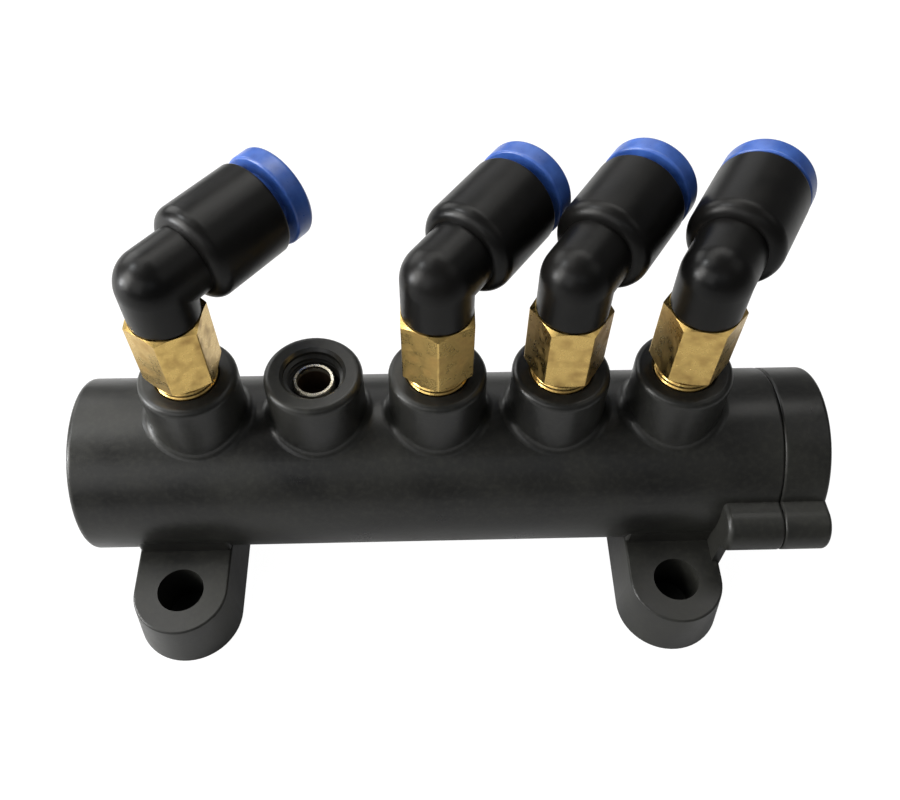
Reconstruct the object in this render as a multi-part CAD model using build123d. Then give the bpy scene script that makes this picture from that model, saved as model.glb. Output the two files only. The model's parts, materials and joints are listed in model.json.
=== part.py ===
from build123d import *
import math
import os

# Pneumatic five-way valve: a moulded barrel with five ports in a row, two feet,
# an end cap, a sliding spool, and swivelling push-in elbows in four of the ports.
# All sizes are in millimetres. While it is modelled, X runs along the bore,
# Z points out of the ports, and the origin is where port 3 meets the bore's axis.

# Barrel
barrel_d = 30.6
end_wall = 6.4
bore_d = 20.0
barrel_edge_round = 1.0
vent_d = 3.0

# Ports
port_count = 5
boss_height = 9.55
boss_gap = 4.0
boss_rim_round = 1.1
boss_root_round = 1.6
thread_d = 9.73
thread_depth = 10.4
port_mouth_chamfer = 0.485
passage_d = 6.0

# Feet
foot_span = 87.0
foot_centre_x = -1.8
foot_stand_off = 7.2
foot_top_r = 8.1
foot_draft = 6.5
foot_height = 9.6
foot_base_gap = 0.9
foot_hole_d = 8.0
foot_pad_back = 6.0
foot_edge_round = 0.4

# Screw ears, on the barrel and on the cap
ear_d = 8.0
ear_stand_off = 1.7
ear_length = 9.7
ear_end_round = 1.0
front_ear_tilt = 6.0
rear_ear_tilt = 20.0
ear_web_thickness = 1.5
ear_web_overhang = 2.2

# End cap
cap_thickness = 8.1
cap_edge_round = 0.8
joint_edge_round = 0.5
cap_spigot_length = 6.3
cap_spigot_gap = 0.05
cap_groove_width = 1.9
cap_groove_depth = 1.55
cap_seal_gap = 0.025
rod_hole_clearance = 0.1

# Cap screws
screw_d = 2.9
screw_gap = 0.05
screw_length = 12.0
screw_head_d = 5.5
screw_head_height = 3.0
screw_head_gap = 0.25
screw_head_inset = 0.4
screw_tip_chamfer = 0.5
screw_head_round = 0.45
screw_socket_af = 2.5
screw_socket_depth = 1.6

# Spool, seals and cages
spool_d = 12.0
spool_stroke = 8.0
waist_d = 8.0
waist_length = 20.0
end_spacer_length = 3.3
spool_end_gap = 1.0
spool_recess = 1.0
spool_edge = 0.8
spool_thread_d = 5.0
spool_thread_depth = 12.0
seal_squeeze_gap = 0.03
seal_side_gap = 0.03
cage_bore_gap = 0.06
cage_rod_gap = 0.3
cage_rim_length = 3.2
cage_waist_depth = 1.4
cage_window_width = 3.4
cage_window_count = 6

# Exhaust jet in the open port
jet_d = 6.7
jet_wall = 0.55
jet_hole_d = 2.4
jet_drop = 1.7
jet_cup_depth = 6.0
jet_foot_gap = 1.45
jet_fit_gap = 0.05
jet_edge = 0.15

# Brass studs
hex_af = 11.0
hex_bottom = 2.3
hex_length = 12.0
hex_chamfer = 30.0
hex_edge_round = 0.3
stud_neck_d = 8.6
stud_neck_length = 1.0
stud_thread_gap = 0.06
stud_engagement = 8.0
stud_groove_wall = 0.65
spigot_d = 7.5
spigot_tip_length = 1.8
swivel_gap = 0.05
swivel_seal_section = 0.9
swivel_seal_rise = 2.1
swivel_groove_width = 1.2
bead_rise = 2.0
bead_width = 0.8
bead_step = 0.3
bead_relief = 0.15

# Elbows
knuckle_d = 10.9
knuckle_gap = 0.15
head_axis_rise = 0.3
head_side_gap = 1.077
head_wall = 1.15
head_start = 6.0
head_shoulder_round = 2.2
head_mouth_round = 0.5
neck_hole_d = 5.6
tube_d = 8.0
tube_gap = 0.05
tube_seat_offset = 2.6
tube_seat_length = 4.4

# What sits in the mouth of a head
tube_seal_section = 1.9
tube_seal_cavity_gap = 0.08
tube_seal_side_gap = 0.1
grab_ring_gap = 0.1
grab_ring_room = 0.5
grab_ring_thickness = 0.35
grab_teeth = 12
grab_tooth_slot = 0.5
retainer_length = 4.4
retainer_wall = 0.6
retainer_gap = 0.03
retainer_lip = 0.45
retainer_lip_length = 1.2

# Release rings
ring_inset = 0.05
ring_stem_wall = 1.02
ring_stop_gap = 0.1
ring_thickness = 3.4
ring_rest_gap = 0.2
ring_edge_round = 0.7
ring_back_round = 0.4
ring_stem_gap = 0.1
ring_tooth_gap = 0.3
ring_bead_length = 1.4
ring_hole_gap = 0.15
ring_mouth_chamfer = 0.6

# Fittings: port, turn of the head from the barrel's direction, turn of the hexagon,
# and whether the release ring stands out of its head or is pushed in
fittings = {
    1: (50.0, 24.0, True),
    3: (53.5, 30.0, True),
    4: (56.0, -4.0, True),
    5: (59.5, -11.0, False),
}

# Small sizes that many pieces share
overcut = 1.0
lead_in = 0.6
small_edge = 0.3

# Radii worked out from the sizes above
barrel_r = barrel_d / 2
bore_r = bore_d / 2
spool_r = spool_d / 2
seal_width = bore_r - spool_r - 2 * seal_squeeze_gap
cap_seal_section = cap_groove_depth - 2 * cap_seal_gap
screw_hole_d = screw_d + 2 * screw_gap
screw_pocket_d = screw_head_d + 2 * screw_head_gap
screw_pocket_depth = screw_head_height + screw_head_inset
stud_hole_d = spigot_d - 2 * (swivel_seal_section + stud_groove_wall)
ring_hole_r = tube_d / 2 + ring_hole_gap
ring_stem_r = ring_hole_r + ring_stem_wall
ring_bead_r = ring_stem_r + retainer_lip
retainer_inner_r = ring_bead_r + ring_stem_gap
retainer_outer_r = retainer_inner_r + retainer_wall
mouth_r = retainer_outer_r + retainer_gap
head_d = 2 * (mouth_r + head_wall)
ring_d = head_d - 2 * ring_inset

# Places along the barrel: the ports stand as far apart as the heads beside each other need
least_turn = math.radians(min(turn for port, (turn, hex_turn, out) in fittings.items() if port > 1))
port_pitch = (head_d + head_side_gap) / math.sin(least_turn)
boss_d = port_pitch - boss_gap
open_port = [port for port in range(1, port_count + 1) if port not in fittings][0]
seal_x = [port_pitch * (i - port_count / 2) for i in range(port_count + 1)]
seal_half = seal_width / 2 + seal_side_gap
spigot_end_x = seal_x[-1] + seal_half
joint_x = spigot_end_x + cap_spigot_length
right_end_x = joint_x + cap_thickness
bore_bottom_x = seal_x[0] - seal_half - end_spacer_length
left_end_x = bore_bottom_x - end_wall
ear_start_x = joint_x - ear_length

# Places across the barrel
rim_height = barrel_r + boss_height
thread_bottom = rim_height - thread_depth
foot_reach = barrel_r + foot_stand_off
foot_base_drop = barrel_r + foot_base_gap
foot_top_drop = foot_base_drop - foot_height
ear_distance = barrel_r + ear_stand_off
to_base = Pos(-foot_centre_x, foot_reach, foot_base_drop)

# Heights above a port's rim, and distances from the port's axis along a head
hex_top = hex_bottom + hex_length
swivel_seal_height = hex_top + swivel_seal_rise
bead_height = swivel_seal_height + bead_rise
spigot_top = bead_height + spigot_tip_length
head_axis_height = spigot_top + head_axis_rise
tube_seat_start = head_start + tube_seat_offset
tube_seat_end = tube_seat_start + tube_seat_length
tube_seal_cavity_end = tube_seat_end + tube_seal_section + 2 * tube_seal_side_gap
retainer_start = tube_seal_cavity_end + grab_ring_room
head_end = retainer_start + retainer_length
retainer_lip_start = head_end - retainer_lip_length
ring_nose = retainer_start + ring_tooth_gap
ring_bead_end = ring_nose + ring_bead_length
ring_travel = retainer_lip_start - ring_bead_end - ring_stop_gap
ring_flange_start = head_end + ring_rest_gap
ring_top = ring_flange_start + ring_thickness


def port_x(port):
    return (port - (port_count + 1) / 2) * port_pitch


def bar_x(d, x0, x1, y=0.0, z=0.0):
    return Pos((x0 + x1) / 2, y, z) * Rot(0, 90, 0) * Cylinder(d / 2, x1 - x0)


def bar_z(d, z0, z1, x=0.0, y=0.0):
    return Pos(x, y, (z0 + z1) / 2) * Cylinder(d / 2, z1 - z0)


def turned_z(points):
    # solid turned about Z from (radius, height) points
    outline = Polyline(*[(r, 0, z) for r, z in points], close=True)
    return revolve(make_face(outline), Axis.Z)


def turned_x(points):
    # solid turned about X from (distance, radius) points
    outline = Polyline(*[(s, 0, r) for s, r in points], close=True)
    return revolve(make_face(outline), Axis.X)


def torus_x(inner_r, section, x):
    return Pos(x, 0, 0) * Rot(0, 90, 0) * Torus(inner_r + section / 2, section / 2)


def ear_places():
    front = math.radians(180 - front_ear_tilt)
    rear = math.radians(-rear_ear_tilt)
    return [(ear_distance * math.cos(a), ear_distance * math.sin(a)) for a in (front, rear)]


def ear(y, z, x0, x1):
    # round ear with a neck of its own width that runs into the barrel
    angle = math.degrees(math.atan2(z, y))
    neck_length = ear_distance - bore_r - overcut
    neck = Box(x1 - x0, neck_length, ear_d)
    neck = Pos((x0 + x1) / 2, 0, 0) * Rot(angle, 0, 0) * Pos(0, ear_distance - neck_length / 2, 0) * neck
    return bar_x(ear_d, x0, x1, y, z) + neck


def foot(x):
    # drafted foot with a round end, whose base also runs under the barrel
    base_r = foot_top_r + foot_height * math.tan(math.radians(foot_draft))
    plan = Circle(base_r) + Pos(0, (foot_reach + foot_pad_back) / 2) * Rectangle(
        2 * base_r, foot_reach + foot_pad_back
    )
    block = extrude(plan, amount=foot_height, taper=foot_draft)
    block = fillet(block.edges().group_by(Axis.Z)[-1], foot_edge_round)
    return Pos(x, -foot_reach, -foot_base_drop) * block


def foot_places():
    return [foot_centre_x - foot_span / 2, foot_centre_x + foot_span / 2]


def ear_web():
    # upright web under the end of the front ear, down to the foot beside it
    y, z = ear_places()[0]
    height = z + foot_top_drop + overcut
    reach = ear_distance + ear_web_overhang - bore_r
    block = Box(ear_web_thickness, reach, height)
    return Pos(ear_start_x + ear_web_thickness / 2, y - ear_web_overhang + reach / 2, z - height / 2) * block


def make_valve_body():
    body = bar_x(barrel_d, left_end_x, joint_x)
    body = fillet(body.edges().group_by(Axis.X)[0], barrel_edge_round)
    for x in foot_places():
        body += foot(x)
    for port in range(1, port_count + 1):
        body += bar_z(boss_d, 0, rim_height, port_x(port))
    roots = [
        e
        for e in body.edges()
        if e.geom_type != GeomType.CIRCLE
        and e.geom_type != GeomType.LINE
        and e.center().Z > 0
    ]
    body = fillet(roots, boss_root_round)
    for y, z in ear_places():
        rounded = ear(y, z, ear_start_x, joint_x)
        body += fillet(rounded.edges().group_by(Axis.X)[0], ear_end_round)
    body = fillet(body.edges().group_by(Axis.X)[-1], joint_edge_round)
    body += ear_web()
    rims = [
        e
        for e in body.edges()
        if e.geom_type == GeomType.CIRCLE and abs(e.center().Z - rim_height) < 0.01
    ]
    body = fillet(rims, boss_rim_round)
    body -= bar_x(bore_d, bore_bottom_x, joint_x)
    body -= bar_x(vent_d, left_end_x, bore_bottom_x)
    for port in range(1, port_count + 1):
        x = port_x(port)
        body -= bar_z(thread_d, thread_bottom, rim_height, x)
        body -= bar_z(passage_d, 0, thread_bottom, x)
        lip = port_mouth_chamfer
        body -= Pos(x, 0, rim_height - lip / 2) * Cone(thread_d / 2, thread_d / 2 + lip, lip)
    for x in foot_places():
        body -= bar_z(foot_hole_d, -foot_base_drop, -foot_top_drop, x, -foot_reach)
    hole_end = right_end_x - screw_pocket_depth - screw_length - overcut
    for y, z in ear_places():
        body -= bar_x(screw_hole_d, hole_end, joint_x, y, z)
    return body


def make_end_cap():
    cap = bar_x(barrel_d, joint_x, right_end_x)
    for y, z in ear_places():
        cap += ear(y, z, joint_x, right_end_x)
    cap = fillet(cap.edges().group_by(Axis.X)[-1], cap_edge_round)
    cap = fillet(cap.edges().group_by(Axis.X)[0], joint_edge_round)
    spigot_d = bore_d - 2 * cap_spigot_gap
    cap += bar_x(spigot_d, spigot_end_x, joint_x)
    groove_x = (spigot_end_x + joint_x) / 2
    groove = bar_x(bore_d + overcut, groove_x - cap_groove_width / 2, groove_x + cap_groove_width / 2)
    cap -= groove - bar_x(bore_d - 2 * cap_groove_depth, spigot_end_x, joint_x)
    cap -= bar_x(spool_d + 2 * rod_hole_clearance, spigot_end_x, right_end_x)
    for y, z in ear_places():
        cap -= bar_x(screw_hole_d, joint_x, right_end_x, y, z)
        cap -= bar_x(screw_pocket_d, right_end_x - screw_pocket_depth, right_end_x, y, z)
    return cap


def make_cap_seal():
    groove_x = (spigot_end_x + joint_x) / 2
    inner_r = bore_r - cap_groove_depth + (cap_groove_depth - cap_seal_section) / 2
    return torus_x(inner_r, cap_seal_section, groove_x)


def make_cap_screws():
    head_x = right_end_x - screw_pocket_depth
    screws = []
    for y, z in ear_places():
        screw = bar_x(screw_d, head_x - screw_length, head_x)
        screw = chamfer(screw.edges().group_by(Axis.X)[0], screw_tip_chamfer)
        head = bar_x(screw_head_d, head_x, head_x + screw_head_height)
        head = fillet(head.edges().group_by(Axis.X)[-1], screw_head_round)
        socket = Plane.YZ * RegularPolygon(screw_socket_af / 2, 6, major_radius=False)
        socket = Pos(head_x + screw_head_height - screw_socket_depth, 0, 0) * extrude(
            socket, amount=screw_socket_depth
        )
        screws.append(Pos(0, y, z) * (screw + head - socket))
    return Compound(children=screws)


def make_spool():
    # the spool rests pushed in; its waists then lie half a stroke left of ports 2 and 4
    x0 = bore_bottom_x + spool_end_gap
    x1 = right_end_x - spool_recess
    spool = bar_x(spool_d, x0, x1)
    spool = chamfer(spool.edges().group_by(Axis.X)[0], spool_edge)
    spool = chamfer(spool.edges().group_by(Axis.X)[-1], spool_edge)
    slope = (spool_d - waist_d) / 2
    for port in (2, 4):
        centre = port_x(port) - spool_stroke / 2
        a = centre - waist_length / 2
        b = centre + waist_length / 2
        spool -= turned_x([
            (a, spool_r + overcut),
            (a, spool_r),
            (a + slope / 2, waist_d / 2),
            (b - slope / 2, waist_d / 2),
            (b, spool_r),
            (b, spool_r + overcut),
        ])
    spool -= bar_x(spool_thread_d, x1 - spool_thread_depth, x1)
    return spool


def make_spool_seal(x):
    return torus_x(spool_r + seal_squeeze_gap, seal_width, x)


def make_cage(port):
    # slotted spacer that holds two seals apart and lets air reach the port
    x0 = port_x(port) - port_pitch / 2 + seal_half
    x1 = port_x(port) + port_pitch / 2 - seal_half
    outer = bore_r - cage_bore_gap
    inner = spool_r + cage_rod_gap
    waist = outer - cage_waist_depth
    a = x0 + cage_rim_length
    b = x1 - cage_rim_length
    cage = turned_x([
        (x0, inner),
        (x0, outer),
        (a, outer),
        (a + cage_waist_depth / 2, waist),
        (b - cage_waist_depth / 2, waist),
        (b, outer),
        (x1, outer),
        (x1, inner),
    ])
    window = b - a - 2 * cage_waist_depth
    for i in range(cage_window_count):
        angle = 360 * i / cage_window_count
        slot = Box(window, cage_window_width, 2 * bore_r)
        cage -= Rot(angle, 0, 0) * Pos((a + b) / 2, 0, bore_r + overcut) * slot
    return cage


def make_end_spacer():
    x1 = seal_x[0] - seal_half
    outer = bar_x(bore_d - 2 * cage_bore_gap, bore_bottom_x, x1)
    return outer - bar_x(spool_d + 2 * cage_rod_gap, bore_bottom_x, x1)


def make_exhaust_jet():
    # thin-walled cup with a small hole in its floor, on a shank that fills the passage
    top = rim_height - jet_drop
    seat = thread_bottom
    foot_end = bore_r + jet_foot_gap
    r = jet_d / 2
    inner = r - jet_wall
    shank = passage_d / 2 - jet_fit_gap
    hole = jet_hole_d / 2
    floor_height = top - jet_cup_depth
    jet = turned_z([
        (hole, foot_end),
        (shank, foot_end),
        (shank, seat),
        (r, seat),
        (r, top - jet_edge),
        (r - jet_edge, top),
        (inner, top),
        (inner, floor_height),
        (hole, floor_height),
    ])
    return Pos(port_x(open_port), 0, 0) * jet


def make_stud(turn):
    # heights count from the rim of the port
    corner_r = hex_af / 2 / math.cos(math.radians(30))
    slope = math.tan(math.radians(hex_chamfer))
    flat_r = hex_af / 2
    rise = (corner_r - flat_r) * slope
    prism = extrude(RegularPolygon(flat_r, 6, major_radius=False), amount=hex_top - hex_bottom)
    prism = fillet(prism.edges().filter_by(Axis.Z), hex_edge_round)
    prism = Pos(0, 0, hex_bottom) * Rot(0, 0, turn) * prism
    envelope = turned_z([
        (0, hex_bottom),
        (flat_r, hex_bottom),
        (corner_r, hex_bottom + rise),
        (corner_r + overcut, hex_bottom + rise),
        (corner_r + overcut, hex_top - rise),
        (corner_r, hex_top - rise),
        (flat_r, hex_top),
        (0, hex_top),
    ])
    thread_r = thread_d / 2 - stud_thread_gap
    spigot_r = spigot_d / 2
    groove_r = spigot_r - swivel_seal_section
    groove_a = swivel_seal_height - swivel_groove_width / 2
    groove_b = swivel_seal_height + swivel_groove_width / 2
    bead_a = bead_height - bead_width / 2
    bead_b = bead_height + bead_width / 2
    bead_r = spigot_r + bead_step
    shaft = turned_z([
        (0, -stud_engagement),
        (thread_r - lead_in, -stud_engagement),
        (thread_r, -stud_engagement + lead_in),
        (thread_r, hex_bottom - stud_neck_length),
        (stud_neck_d / 2, hex_bottom - stud_neck_length),
        (stud_neck_d / 2, hex_bottom + overcut),
        (spigot_r, hex_bottom + overcut),
        (spigot_r, groove_a),
        (groove_r, groove_a),
        (groove_r, groove_b),
        (spigot_r, groove_b),
        (spigot_r, bead_a),
        (bead_r, bead_a + bead_step),
        (bead_r, bead_b - bead_step),
        (spigot_r, bead_b),
        (spigot_r, spigot_top - small_edge),
        (spigot_r - small_edge, spigot_top),
        (0, spigot_top),
    ])
    stud = (prism & envelope) + shaft
    return stud - bar_z(stud_hole_d, -stud_engagement, spigot_top)


def make_swivel_seal():
    centre_r = spigot_d / 2 - swivel_seal_section / 2
    return Pos(0, 0, swivel_seal_height) * Torus(centre_r, swivel_seal_section / 2)


def make_elbow():
    # the head points along X before it is turned; distances count from the port's axis
    knuckle_r = knuckle_d / 2
    bottom = hex_top + knuckle_gap
    elbow = bar_z(knuckle_d, bottom, head_axis_height)
    elbow = fillet(elbow.edges().group_by(Axis.Z)[0], small_edge)
    elbow += Pos(0, 0, head_axis_height) * Sphere(knuckle_r)
    head = bar_x(head_d, head_start, head_end)
    head = fillet(head.edges().group_by(Axis.X)[0], head_shoulder_round)
    head = fillet(head.edges().group_by(Axis.X)[-1], head_mouth_round)
    elbow += Pos(0, 0, head_axis_height) * (bar_x(knuckle_d, 0, head_start + overcut) + head)
    spigot_r = spigot_d / 2 + swivel_gap
    relief_r = spigot_r + bead_step + bead_relief
    relief_a = bead_height - bead_width / 2 - bead_relief
    relief_b = bead_height + bead_width / 2 + bead_relief
    socket_top = spigot_top + lead_in
    elbow -= turned_z([
        (0, bottom - overcut),
        (spigot_r, bottom - overcut),
        (spigot_r, relief_a),
        (relief_r, relief_a + bead_step),
        (relief_r, relief_b - bead_step),
        (spigot_r, relief_b),
        (spigot_r, socket_top),
        (neck_hole_d / 2, socket_top + spigot_r - neck_hole_d / 2),
        (0, socket_top + spigot_r - neck_hole_d / 2),
    ])
    seat_r = tube_d / 2 + tube_gap
    cavity_r = seat_r + tube_seal_section + tube_seal_cavity_gap
    elbow -= Pos(0, 0, head_axis_height) * turned_x([
        (0, 0),
        (0, neck_hole_d / 2),
        (tube_seat_start, neck_hole_d / 2),
        (tube_seat_start, seat_r),
        (tube_seat_end, seat_r),
        (tube_seat_end, cavity_r),
        (tube_seal_cavity_end, cavity_r),
        (tube_seal_cavity_end, mouth_r),
        (head_end + overcut, mouth_r),
        (head_end + overcut, 0),
    ])
    return elbow


def make_tube_seal():
    inner_r = tube_d / 2 + tube_gap
    return torus_x(inner_r, tube_seal_section, (tube_seat_end + tube_seal_cavity_end) / 2)


def make_grab_ring():
    # thin spring ring with teeth that lean inwards, spread as by a tube
    t = grab_ring_thickness
    rim_r = mouth_r - grab_ring_gap
    tip_r = tube_d / 2 + tube_gap
    root_r = (rim_r + tip_r) / 2
    x1 = retainer_start - retainer_gap
    lean = t + retainer_gap
    ring = turned_x([
        (x1 - t, root_r),
        (x1 - t, rim_r),
        (x1, rim_r),
        (x1, root_r),
        (x1 - lean + t, tip_r),
        (x1 - lean, tip_r),
    ])
    for i in range(grab_teeth):
        slot = Box(3 * lean, grab_tooth_slot, root_r)
        ring -= Rot(360 * i / grab_teeth, 0, 0) * Pos(x1, 0, root_r / 2) * slot
    return ring


def make_retainer():
    # sleeve in the mouth, with a lip that keeps the release ring in
    lip_r = retainer_inner_r - retainer_lip
    return turned_x([
        (retainer_start, retainer_inner_r),
        (retainer_start, retainer_outer_r),
        (head_end, retainer_outer_r),
        (head_end, lip_r),
        (retainer_lip_start + retainer_lip, lip_r),
        (retainer_lip_start, retainer_inner_r),
    ])


def make_release_ring():
    # pushed in: the bead's nose is then just off the grab ring's teeth
    ring = turned_x([
        (ring_nose, ring_hole_r),
        (ring_nose, ring_hole_r + lead_in),
        (ring_nose + lead_in, ring_bead_r),
        (ring_bead_end, ring_bead_r),
        (ring_bead_end + retainer_lip, ring_stem_r),
        (ring_flange_start, ring_stem_r),
        (ring_flange_start, ring_d / 2),
        (ring_top, ring_d / 2),
        (ring_top, ring_hole_r + ring_mouth_chamfer),
        (ring_top - ring_mouth_chamfer, ring_hole_r),
    ])
    for x, size in ((ring_top, ring_edge_round), (ring_flange_start, ring_back_round)):
        edges = ring.edges().filter_by(lambda e: abs(e.center().X - x) < ring_stem_gap)
        ring = fillet(edges.sort_by(lambda e: e.length)[-1], size)
    return ring


def write(name, solid):
    solid = to_base * solid
    solid.label = name
    export_step(solid, f"parts/{name}.step")


def write_fitting(port):
    head_turn, hex_turn, ring_is_out = fittings[port]
    ring_out = ring_travel if ring_is_out else 0
    on_port = Pos(port_x(port), 0, rim_height)
    in_head = on_port * Rot(0, 0, head_turn)
    on_head_axis = in_head * Pos(0, 0, head_axis_height)
    write(f"stud_{port}", on_port * make_stud(hex_turn))
    write(f"swivel_seal_{port}", on_port * make_swivel_seal())
    write(f"elbow_{port}", in_head * make_elbow())
    write(f"tube_seal_{port}", on_head_axis * make_tube_seal())
    write(f"grab_ring_{port}", on_head_axis * make_grab_ring())
    write(f"retainer_{port}", on_head_axis * make_retainer())
    write(f"release_ring_{port}", on_head_axis * Pos(ring_out, 0, 0) * make_release_ring())


os.makedirs("parts", exist_ok=True)
write("valve_body", make_valve_body())
write("end_cap", make_end_cap())
write("cap_seal", make_cap_seal())
write("cap_screws", make_cap_screws())
write("spool", make_spool())
write("end_spacer", make_end_spacer())
write("exhaust_jet", make_exhaust_jet())
for number, x in enumerate(seal_x, start=1):
    write(f"spool_seal_{number}", make_spool_seal(x))
for port in range(1, port_count + 1):
    write(f"port_cage_{port}", make_cage(port))
for port in fittings:
    write_fitting(port)
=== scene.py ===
import json
import math

import bpy
from mathutils import Matrix, Vector


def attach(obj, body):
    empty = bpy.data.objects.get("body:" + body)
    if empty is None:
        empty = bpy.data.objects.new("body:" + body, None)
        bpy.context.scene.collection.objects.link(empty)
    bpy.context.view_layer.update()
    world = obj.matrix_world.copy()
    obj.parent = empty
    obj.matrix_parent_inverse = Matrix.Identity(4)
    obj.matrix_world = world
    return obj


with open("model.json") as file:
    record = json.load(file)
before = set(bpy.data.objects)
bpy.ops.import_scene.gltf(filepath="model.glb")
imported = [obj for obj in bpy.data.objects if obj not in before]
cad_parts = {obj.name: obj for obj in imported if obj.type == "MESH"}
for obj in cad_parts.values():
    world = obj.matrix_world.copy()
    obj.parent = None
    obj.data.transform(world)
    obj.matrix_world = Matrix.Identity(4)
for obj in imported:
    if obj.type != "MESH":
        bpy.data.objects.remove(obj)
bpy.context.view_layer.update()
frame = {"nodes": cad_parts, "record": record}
mm = 0.001


class Wire:
    # one output socket; the operators on it add Math nodes
    def __init__(self, graph, socket):
        self.graph = graph
        self.socket = socket

    def maths(self, operation, first, second):
        return self.graph.add("Math", {"operation": operation}, {0: first, 1: second})

    def __add__(self, other):
        return self.maths("ADD", self, other)

    def __radd__(self, other):
        return self.maths("ADD", other, self)

    def __sub__(self, other):
        return self.maths("SUBTRACT", self, other)

    def __rsub__(self, other):
        return self.maths("SUBTRACT", other, self)

    def __mul__(self, other):
        return self.maths("MULTIPLY", self, other)

    def __rmul__(self, other):
        return self.maths("MULTIPLY", other, self)

    def __truediv__(self, other):
        return self.maths("DIVIDE", self, other)

    def __rtruediv__(self, other):
        return self.maths("DIVIDE", other, self)


class Graph:
    # the nodes of a material or of the room
    def __init__(self, tree):
        self.tree = tree
        tree.nodes.clear()

    def add(self, kind, settings={}, sockets={}, output=0):
        node = self.tree.nodes.new("ShaderNode" + kind)
        for name, value in settings.items():
            if name == "stops":
                self.setStops(node.color_ramp, value)
            else:
                setattr(node, name, value)
        for name, value in sockets.items():
            if isinstance(value, Wire):
                self.tree.links.new(value.socket, node.inputs[name])
            else:
                node.inputs[name].default_value = value
        return Wire(self, node.outputs[output]) if len(node.outputs) else None

    def setStops(self, ramp, stops):
        for element, (position, level) in zip(ramp.elements, stops):
            element.position = position
            element.color = (level, level, level, 1)

    def seenRays(self, mirrored):
        # 1 for rays from the camera, and the mirrored share
        # for rays that come off gloss or through a clear piece
        glossy = self.add("LightPath", output="Is Glossy Ray")
        through = self.add("LightPath", output="Is Transmission Ray")
        return self.add("LightPath", output="Is Camera Ray") + (glossy + through) * mirrored


class Finish(Graph):
    # one material, with the sizes of its marks in millimetres
    def __init__(self, name):
        self.material = bpy.data.materials.new(name)
        self.material.use_nodes = True
        super().__init__(self.material.node_tree)
        self.place = self.add("TexCoord", output="Object")

    def axis(self, name):
        return self.add("SeparateXYZ", {}, {"Vector": self.place}, output=name)

    def mask(self, value, edges):
        # black below the first edge, white above the second
        low, high = edges
        return self.add("ValToRGB", {"stops": ((low, 0.0), (high, 1.0))}, {"Fac": value})

    def noise(self, size, detail, stretch=(1, 1, 1), shift=0.0):
        spot = self.add("Mapping", {}, {
            "Vector": self.place,
            "Scale": [s / (size * mm) for s in stretch],
            "Location": (shift, shift, shift),
        })
        return self.add("TexNoise", {}, {"Vector": spot, "Scale": 1.0, "Detail": detail})

    def blend(self, amount, first, second):
        return self.add("Mix", {"data_type": "RGBA"}, {0: amount, 6: first, 7: second}, output=2)

    def bump(self, height, depth, onto=None):
        sockets = {"Height": height, "Strength": 1.0, "Distance": depth * mm}
        if onto:
            sockets["Normal"] = onto
        return self.add("Bump", {}, sockets)

    def done(self, sockets):
        shader = self.add("BsdfPrincipled", {}, sockets)
        self.add("OutputMaterial", {}, {"Surface": shader})
        return self.material


def linear(level):
    return level / 12.92 if level < 0.04045 else ((level + 0.055) / 1.055) ** 2.4


def rgb(code):
    # linear colour from a hexadecimal one
    return tuple(linear(int(code[i:i + 2], 16) / 255) for i in (0, 2, 4)) + (1,)


cloudEdges = (0.3, 0.7)
wornEdges = (0.35, 0.7)

# Body and cap: black moulded nylon with a fine grain and cloudy sheen

bodyLook = {
    "colour": "151515",
    "palerColour": "2e2e2a",
    "reflection": 0.3,
    "cloudSize": 14.0,
    "cloudShare": 0.55,
    "fleckSize": 0.9,
    "fleckShift": 3.0,
    "fleckEdges": (0.45, 0.75),
    "fleckShare": 0.3,
    "grainSize": 0.35,
    "grainDepth": 0.012,
    "waveSize": 5.0,
    "waveShift": 7.0,
    "waveDepth": 0.05,
    "smoothest": 0.27,
    "cloudRoughness": 0.14,
    "fleckRoughness": 0.04,
}


def makeBodyPlastic(look):
    made = Finish("bodyPlastic")
    cloud = made.mask(made.noise(look["cloudSize"], detail=4), cloudEdges)
    flecks = made.noise(look["fleckSize"], detail=2, shift=look["fleckShift"])
    fleck = made.mask(flecks, look["fleckEdges"])
    grain = made.noise(look["grainSize"], detail=2)
    wave = made.noise(look["waveSize"], detail=2, shift=look["waveShift"])
    paler = cloud * look["cloudShare"] + fleck * look["fleckShare"]
    rougher = cloud * look["cloudRoughness"] + fleck * look["fleckRoughness"]
    return made.done({
        "Base Color": made.blend(paler, rgb(look["colour"]), rgb(look["palerColour"])),
        "Roughness": rougher + look["smoothest"],
        "Normal": made.bump(grain, look["grainDepth"], made.bump(wave, look["waveDepth"])),
        "Specular IOR Level": look["reflection"],
    })


# Elbows: smoother black plastic

elbowLook = {
    "colour": "080808",
    "palerColour": "11100f",
    "reflection": 0.16,
    "cloudSize": 7.0,
    "grainSize": 0.6,
    "grainDepth": 0.004,
    "waveSize": 4.0,
    "waveShift": 5.0,
    "waveDepth": 0.015,
    "smoothest": 0.26,
    "cloudRoughness": 0.08,
    "grainRoughness": 0.05,
}


def makeElbowPlastic(look):
    made = Finish("elbowPlastic")
    cloud = made.mask(made.noise(look["cloudSize"], detail=3), cloudEdges)
    grain = made.noise(look["grainSize"], detail=2)
    wave = made.noise(look["waveSize"], detail=1, shift=look["waveShift"])
    rougher = cloud * look["cloudRoughness"] + grain * look["grainRoughness"]
    return made.done({
        "Base Color": made.blend(cloud, rgb(look["colour"]), rgb(look["palerColour"])),
        "Roughness": rougher + look["smoothest"],
        "Normal": made.bump(grain, look["grainDepth"], made.bump(wave, look["waveDepth"])),
        "Specular IOR Level": look["reflection"],
    })


# Release rings: faintly cloudy blue plastic that lets a little light in

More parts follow.
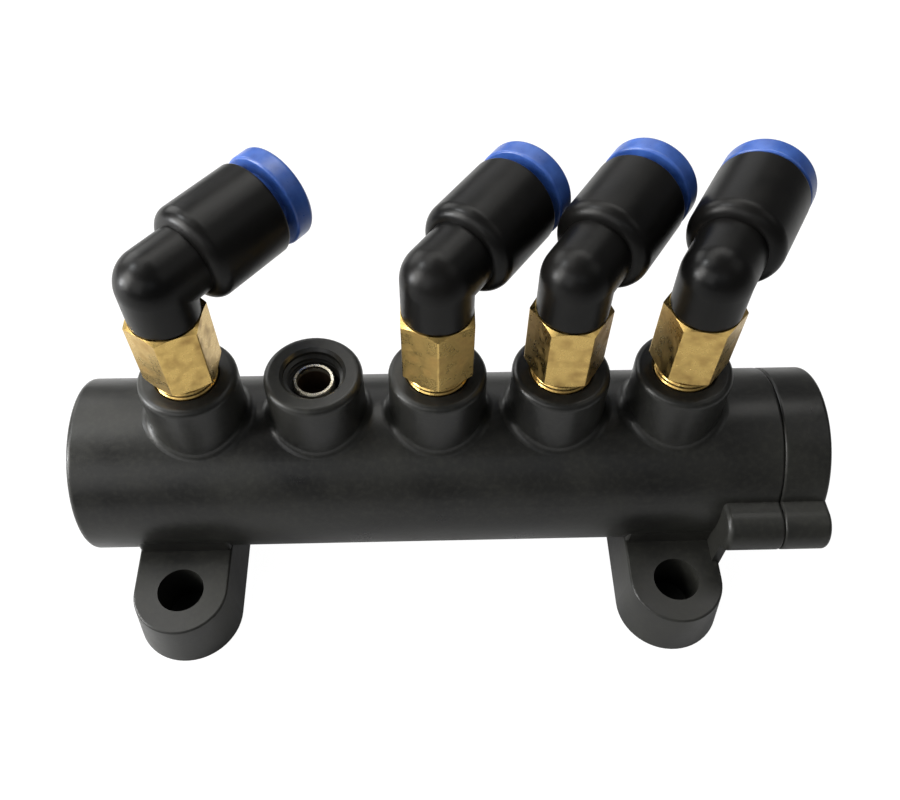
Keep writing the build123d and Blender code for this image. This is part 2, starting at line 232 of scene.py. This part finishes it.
ringLook = {
    "colour": "294a90",
    "palerColour": "3f63b0",
    "cloudSize": 3.0,
    "grainSize": 0.4,
    "grainDepth": 0.004,
    "smoothest": 0.24,
    "grainRoughness": 0.12,
    "softShare": 0.15,
    "softRadius": (0.2, 0.3, 1.0),
    "softDepth": 0.6,
    "bending": 1.48,
}


def makeRingPlastic(look):
    made = Finish("ringPlastic")
    cloud = made.mask(made.noise(look["cloudSize"], detail=3), cloudEdges)
    grain = made.noise(look["grainSize"], detail=2)
    return made.done({
        "Base Color": made.blend(cloud, rgb(look["colour"]), rgb(look["palerColour"])),
        "Roughness": grain * look["grainRoughness"] + look["smoothest"],
        "Normal": made.bump(grain, look["grainDepth"]),
        "Subsurface Weight": look["softShare"],
        "Subsurface Radius": look["softRadius"],
        "Subsurface Scale": look["softDepth"] * mm,
        "IOR": look["bending"],
    })


# Studs: dull turned brass with stains and cutter marks

brassLook = {
    "colour": "cbac68",
    "stainColour": "8a6430",
    "stainSize": 2.2,
    "stainEdges": (0.45, 0.8),
    "stainShare": 0.7,
    "stainDullness": 0.25,
    "hazeSize": 0.5,
    "hazeShift": 2.0,
    "hazeShare": 0.5,
    "cutterPitch": 0.35,
    "cutterStretch": (0.15, 0.15, 1.0),
    "cutterDepth": 0.004,
    "smoothest": 0.22,
    "stainRoughness": 0.22,
    "hazeRoughness": 0.12,
}


def makeBrass(look):
    made = Finish("brass")
    stain = made.mask(made.noise(look["stainSize"], detail=5), look["stainEdges"])
    haze = made.noise(look["hazeSize"], detail=3, shift=look["hazeShift"])
    cutter = made.noise(look["cutterPitch"], detail=2, stretch=look["cutterStretch"])
    clean, stained = rgb(look["colour"]), rgb(look["stainColour"])
    rougher = stain * look["stainRoughness"] + haze * look["hazeRoughness"]
    return made.done({
        "Base Color": made.blend(stain * look["stainShare"], clean, stained),
        "Metallic": 1.0 - stain * look["stainDullness"],
        "Roughness": rougher + look["smoothest"],
        "Normal": made.bump(cutter + haze * look["hazeShare"], look["cutterDepth"]),
    })


# Jet: a bright rim, and painted shade in the passage that darkens inwards

jetLook = {
    "colour": "e6e0d0",
    "wornColour": "c4bba3",
    "passageShadeColour": "3a2c20",
    "rimDepth": 0.35,
    "darkDepth": 1.1,
    "darkDullness": 0.5,
    "wornSize": 1.0,
    "fineSize": 0.25,
    "fineDepth": 0.003,
    "smoothest": 0.19,
    "wornRoughness": 0.12,
    "darkRoughness": 0.2,
}


def makeJetMetal(look):
    made = Finish("jetMetal")
    top = max(v.co.z for v in frame["nodes"]["exhaust_jet"].data.vertices)
    depth = top - made.axis("Z")
    # painted shade: below the rim the colour turns dark brown, duller and rougher with depth,
    # standing in for the shade inside the hole
    shade = depth / (look["darkDepth"] * mm) - look["rimDepth"] / look["darkDepth"]
    dark = made.mask(shade, (0.0, 1.0))
    worn = made.mask(made.noise(look["wornSize"], detail=4), wornEdges)
    clean = made.blend(worn, rgb(look["colour"]), rgb(look["wornColour"]))
    rougher = worn * look["wornRoughness"] + dark * look["darkRoughness"]
    return made.done({
        "Base Color": made.blend(dark, clean, rgb(look["passageShadeColour"])),
        "Metallic": 1.0 - dark * look["darkDullness"],
        "Roughness": rougher + look["smoothest"],
        "Normal": made.bump(made.noise(look["fineSize"], detail=2), look["fineDepth"]),
    })


# Screws and the pieces inside

innerLooks = {
    "screw_steel": {
        "colours": ("3a3a3c", "232324"), "metallic": 1.0, "smoothest": 0.34, "size": 0.8,
    },
    "spool_metal": {
        "colours": ("c4c6c8", "a9abad"), "metallic": 1.0, "smoothest": 0.16, "size": 3.0,
    },
    "spring_steel": {
        "colours": ("b9babc", "8f9092"), "metallic": 1.0, "smoothest": 0.17, "size": 1.0,
    },
    "cage_plastic": {
        "colours": ("b8b2a0", "a19b88"), "metallic": 0.0, "smoothest": 0.42, "size": 3.0,
    },
    "seal_rubber": {
        "colours": ("141414", "1f1f1f"), "metallic": 0.0, "smoothest": 0.47, "size": 1.5,
    },
    "retainer_plastic": {
        "colours": ("1b1b1b", "262625"), "metallic": 0.0, "smoothest": 0.32, "size": 2.0,
    },
}
innerMarks = {
    "finePerCloud": 6,
    "fineStretch": (1.0, 0.3, 0.3),
    "fineDepth": 0.004,
    "cloudRoughness": 0.12,
    "fineRoughness": 0.08,
}


def makeInner(slot, look, marks):
    first, second = slot.split("_")
    made = Finish(first + second.title())
    cloud = made.mask(made.noise(look["size"], detail=4), wornEdges)
    fine = made.noise(look["size"] / marks["finePerCloud"], detail=2, stretch=marks["fineStretch"])
    rougher = cloud * marks["cloudRoughness"] + fine * marks["fineRoughness"]
    colour, otherColour = look["colours"]
    return made.done({
        "Base Color": made.blend(cloud, rgb(colour), rgb(otherColour)),
        "Metallic": look["metallic"],
        "Roughness": rougher + look["smoothest"],
        "Normal": made.bump(fine, marks["fineDepth"]),
    })


materials = {
    "body_plastic": makeBodyPlastic(bodyLook),
    "fitting_plastic": makeElbowPlastic(elbowLook),
    "ring_plastic": makeRingPlastic(ringLook),
    "brass": makeBrass(brassLook),
    "jet_metal": makeJetMetal(jetLook),
}
for slot, look in innerLooks.items():
    materials[slot] = makeInner(slot, look, innerMarks)
for subpart in frame["record"]["subparts"]:
    node = frame["nodes"][subpart["node"]]
    node.data.materials.clear()
    node.data.materials.append(materials[subpart["material_slot"]])
print("finishes given to", len(frame["nodes"]), "nodes")


# Added shapes, in millimetres of the frame that the part is kept in

axisY, axisZ = 22.5, 16.2
rimHeight = 41.05
middlePortX, portPitch = 1.8, 20.0
holeDistance = 43.5
portX = {port: middlePortX + (port - 3) * portPitch for port in range(1, 6)}


def putInScene(name, data):
    thing = bpy.data.objects.new(name, data)
    bpy.context.scene.collection.objects.link(thing)
    return thing


def addMesh(name, points, faces, body, slot):
    mesh = bpy.data.meshes.new(name)
    mesh.from_pydata([[c * mm for c in point] for point in points], [], faces)
    mesh.validate()
    for polygon in mesh.polygons:
        polygon.use_smooth = False
    thing = putInScene(name, mesh)
    mesh.materials.append(materials[slot])
    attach(thing, body)


# Threads: one wound ridge in the open port, and one on each stud where it leaves its port
# Their starts and ends are heights above the port's rim

portThread = {
    "pitch": 0.907,
    "wallRadius": 4.92,
    "crestRadius": 4.29,
    "start": -9.95,
    "end": -0.95,
    "rootWidth": 0.86,
    "crestWidth": 0.16,
    "stepsPerTurn": 48,
    "fadeSteps": 12,
}
studThread = {
    "pitch": 0.907,
    "wallRadius": 4.75,
    "crestRadius": 5.0,
    "start": -0.75,
    "end": 1.25,
    "rootWidth": 0.8,
    "crestWidth": 0.2,
    "stepsPerTurn": 48,
    "fadeSteps": 12,
}


def windThread(name, look, x, slot):
    steps = int((look["end"] - look["start"]) / look["pitch"] * look["stepsPerTurn"])
    wall, crest = look["wallRadius"], look["crestRadius"]
    halfRoot, halfCrest = look["rootWidth"] / 2, look["crestWidth"] / 2
    points, faces = [], []
    for i in range(steps + 1):
        turn = i / look["stepsPerTurn"]
        angle = 2 * math.pi * turn
        sideways, back = math.cos(angle), math.sin(angle)
        rise = rimHeight + look["start"] + look["pitch"] * turn
        fade = min(1.0, i / look["fadeSteps"], (steps - i) / look["fadeSteps"])
        top = wall + (crest - wall) * fade
        section = ((wall, -halfRoot), (top, -halfCrest), (top, halfCrest), (wall, halfRoot))
        for radius, up in section:
            points.append((x + radius * sideways, axisY + radius * back, rise + up))
    corners = 4  # of the ridge's section
    for i in range(steps):
        for k in range(corners):
            a, b = corners * i + k, corners * i + (k + 1) % corners
            faces.append((a, b, b + corners, a + corners))
    addMesh(name, points, faces, "valve", slot)


windThread("portThread", portThread, portX[2], "body_plastic")
for port in (1, 3, 4, 5):
    windThread("studThread" + str(port), studThread, portX[port], "brass")

# Foot roots: an upright wall from each foot's top to the barrel's front

footRoot = {
    "halfWidth": 8.0,
    "front": 7.65,
    "back": 14.0,
    "bottom": 9.3,
    "top": 13.6,
    "edge": 0.5,
    "edgeRounding": 0.3,
}


def addFootRoot(name, look, centre):
    edge, inner = look["edge"], look["edge"] * look["edgeRounding"]
    left, right = centre - look["halfWidth"], centre + look["halfWidth"]
    front, back = look["front"], look["back"]
    outline = [
        (left, back), (left, front + edge), (left + inner, front + inner), (left + edge, front),
        (right - edge, front), (right - inner, front + inner), (right, front + edge), (right, back),
    ]
    count = len(outline)
    points = [(x, y, z) for z in (look["bottom"], look["top"]) for x, y in outline]
    faces = [(i, (i + 1) % count, (i + 1) % count + count, i + count) for i in range(count)]
    faces += [tuple(range(count - 1, -1, -1)), tuple(range(count, 2 * count))]
    addMesh(name, points, faces, "valve", "body_plastic")


addFootRoot("footRootLeft", footRoot, -holeDistance)
addFootRoot("footRootRight", footRoot, holeDistance)
print("threads and foot roots added")

# Floor: a pale sheet that keeps a faint shadow, with a painted shade disc where the feet's holes
# stand on it

floorLook = {
    "size": 3.0,  # metres
    "colour": "d2d2d2",
    "glow": 0.88,
    "glowStrength": 1.13,
    "mirrored": 0.15,
    "darkRadius": 8.8,  # millimetres
    "holeShadeColour": "2c2c2c",
}


def makeFloor(look):
    half = look["size"] / 2
    mesh = bpy.data.meshes.new("floor")
    corners = [(-half, -half, 0), (half, -half, 0), (half, half, 0), (-half, half, 0)]
    mesh.from_pydata(corners, [], [(0, 1, 2, 3)])
    floor = putInScene("floor", mesh)
    paint = Finish("floorPaint")
    along, across = paint.axis("X"), paint.axis("Y")
    # painted shade: a dark disc under each foot's hole, where the glow is also switched off
    aside = paint.add("Math", {"operation": "ABSOLUTE"}, {0: along}) - holeDistance * mm
    away = aside * aside + across * across
    edge = (look["darkRadius"] * mm) ** 2
    lit = paint.add("Math", {"operation": "GREATER_THAN"}, {0: away, 1: edge})
    sheet = paint.blend(lit, rgb(look["holeShadeColour"]), rgb(look["colour"]))
    matt = paint.add("BsdfDiffuse", {}, {"Color": sheet})
    glow = paint.add("Emission", {}, {"Color": (1, 1, 1, 1), "Strength": look["glowStrength"]})
    glowing = paint.seenRays(look["mirrored"]) * lit * look["glow"]
    mixed = paint.add("MixShader", {}, {0: glowing, 1: matt, 2: glow})
    paint.add("OutputMaterial", {}, {"Surface": mixed})
    mesh.materials.append(paint.material)


makeFloor(floorLook)

# Light: a small low window on the left, and soft panels around the part
# Azimuth 0 is in front of the feet, -90 on the left; sizes and distances are in metres

lamps = {
    "window": {
        "azimuth": -88, "elevation": 9, "size": (0.05, 0.12),
        "power": 1.5, "colour": (0.95, 0.97, 1.0),
    },
    "left": {
        "azimuth": -80, "elevation": 24, "size": (0.25, 0.35),
        "power": 3.9, "colour": (1.0, 0.99, 0.96),
    },
    "rimSpot": {
        "azimuth": -103, "elevation": 48, "size": (0.08, 0.08),
        "power": 1.0, "colour": (0.95, 0.98, 1.0),
    },
    "leftSky": {
        "azimuth": -100, "elevation": 64, "size": (0.25, 0.25),
        "power": 0.36, "colour": (1.0, 0.99, 0.95),
    },
    "frontLeft": {
        "azimuth": -40, "elevation": 32, "size": (0.3, 0.35),
        "power": 0.7, "colour": (1.0, 1.0, 1.0),
    },
    "front": {
        "azimuth": 0, "elevation": 42, "size": (0.35, 0.2),
        "power": 0.15, "colour": (0.92, 0.96, 1.0),
    },
    "backLeftLow": {
        "azimuth": -135, "elevation": 25, "size": (0.3, 0.3),
        "power": 1.18, "colour": (1.0, 1.0, 0.98),
    },
    "backLeftHigh": {
        "azimuth": -146, "elevation": 60, "size": (0.25, 0.25),
        "power": 0.76, "colour": (1.0, 0.99, 0.95),
    },
    "backLow": {
        "azimuth": 180, "elevation": 25, "size": (0.4, 0.25),
        "power": 0.38, "colour": (1.0, 1.0, 1.0),
    },
    "backHigh": {
        "azimuth": 177, "elevation": 57, "size": (0.2, 0.2),
        "power": 0.5, "colour": (1.0, 0.99, 0.95),
    },
    "right": {
        "azimuth": 80, "elevation": 50, "size": (0.3, 0.3),
        "power": 0.22, "colour": (1.0, 1.0, 0.97),
    },
    "backRightHigh": {
        "azimuth": 146, "elevation": 60, "size": (0.25, 0.25),
        "power": 0.6, "colour": (1.0, 0.99, 0.95),
    },
}
lampDistance = 0.6
lampTarget = Vector((0.004, 0.015, 0.035))


def wayTo(azimuth, elevation):
    a, e = math.radians(azimuth), math.radians(elevation)
    return Vector((math.sin(a) * math.cos(e), -math.cos(a) * math.cos(e), math.sin(e)))


def makeLamp(name, lamp):
    light = bpy.data.lights.new(name, "AREA")
    light.shape = "RECTANGLE"
    light.size, light.size_y = lamp["size"]
    light.energy = lamp["power"]
    light.color = lamp["colour"]
    holder = putInScene(name, light)
    way = wayTo(lamp["azimuth"], lamp["elevation"])
    holder.location = lampTarget + way * lampDistance
    holder.rotation_euler = (-way).to_track_quat("-Z", "Y").to_euler()


for name, lamp in lamps.items():
    makeLamp(name, lamp)

roomLook = {
    "level": 0.01,
    "seenLevel": 1.0,
    "mirrored": 0.15,
}


def makeRoom(look):
    world = bpy.data.worlds.new("room")
    bpy.context.scene.world = world
    world.use_nodes = True
    room = Graph(world.node_tree)
    level = room.seenRays(look["mirrored"]) * (look["seenLevel"] - look["level"]) + look["level"]
    air = room.add("Background", {}, {"Color": (1, 1, 1, 1), "Strength": level})
    room.add("OutputWorld", {}, {"Surface": air})


makeRoom(roomLook)
print("floor, lamps and room are in")

# Camera: where the photograph was taken from

cameraPlace = {
    "target": (4.065, axisY, axisZ),  # millimetres
    "distance": 166.84,  # millimetres
    "azimuth": -2.586,
    "elevation": 56.293,
    "roll": 1.076,
    "focalPixels": 910.67,
    "frameWidth": 900,
    "centreDrop": 56.54,  # pixels from the frame's middle down to the optical centre
    "sensorWidth": 36.0,
    "nearest": 0.01,  # metres
}


def makeCamera(place):
    back = wayTo(place["azimuth"], place["elevation"])
    right = Vector((0, 0, 1)).cross(back).normalized()
    up = back.cross(right)
    r = math.radians(place["roll"])
    turnedRight = right * math.cos(r) + up * math.sin(r)
    turnedUp = up * math.cos(r) - right * math.sin(r)
    data = bpy.data.cameras.new("camera")
    data.sensor_width = place["sensorWidth"]
    data.lens = place["sensorWidth"] * place["focalPixels"] / place["frameWidth"]
    data.shift_y = place["centreDrop"] / place["frameWidth"]
    data.clip_start = place["nearest"]
    camera = putInScene("camera", data)
    axes = Matrix((turnedRight, turnedUp, back)).transposed().to_4x4()
    at = Vector(place["target"]) * mm + back * place["distance"] * mm
    camera.matrix_world = Matrix.Translation(at) @ axes
    bpy.context.scene.camera = camera


makeCamera(cameraPlace)
bpy.context.scene.view_settings.view_transform = "Standard"
print("camera is in place")
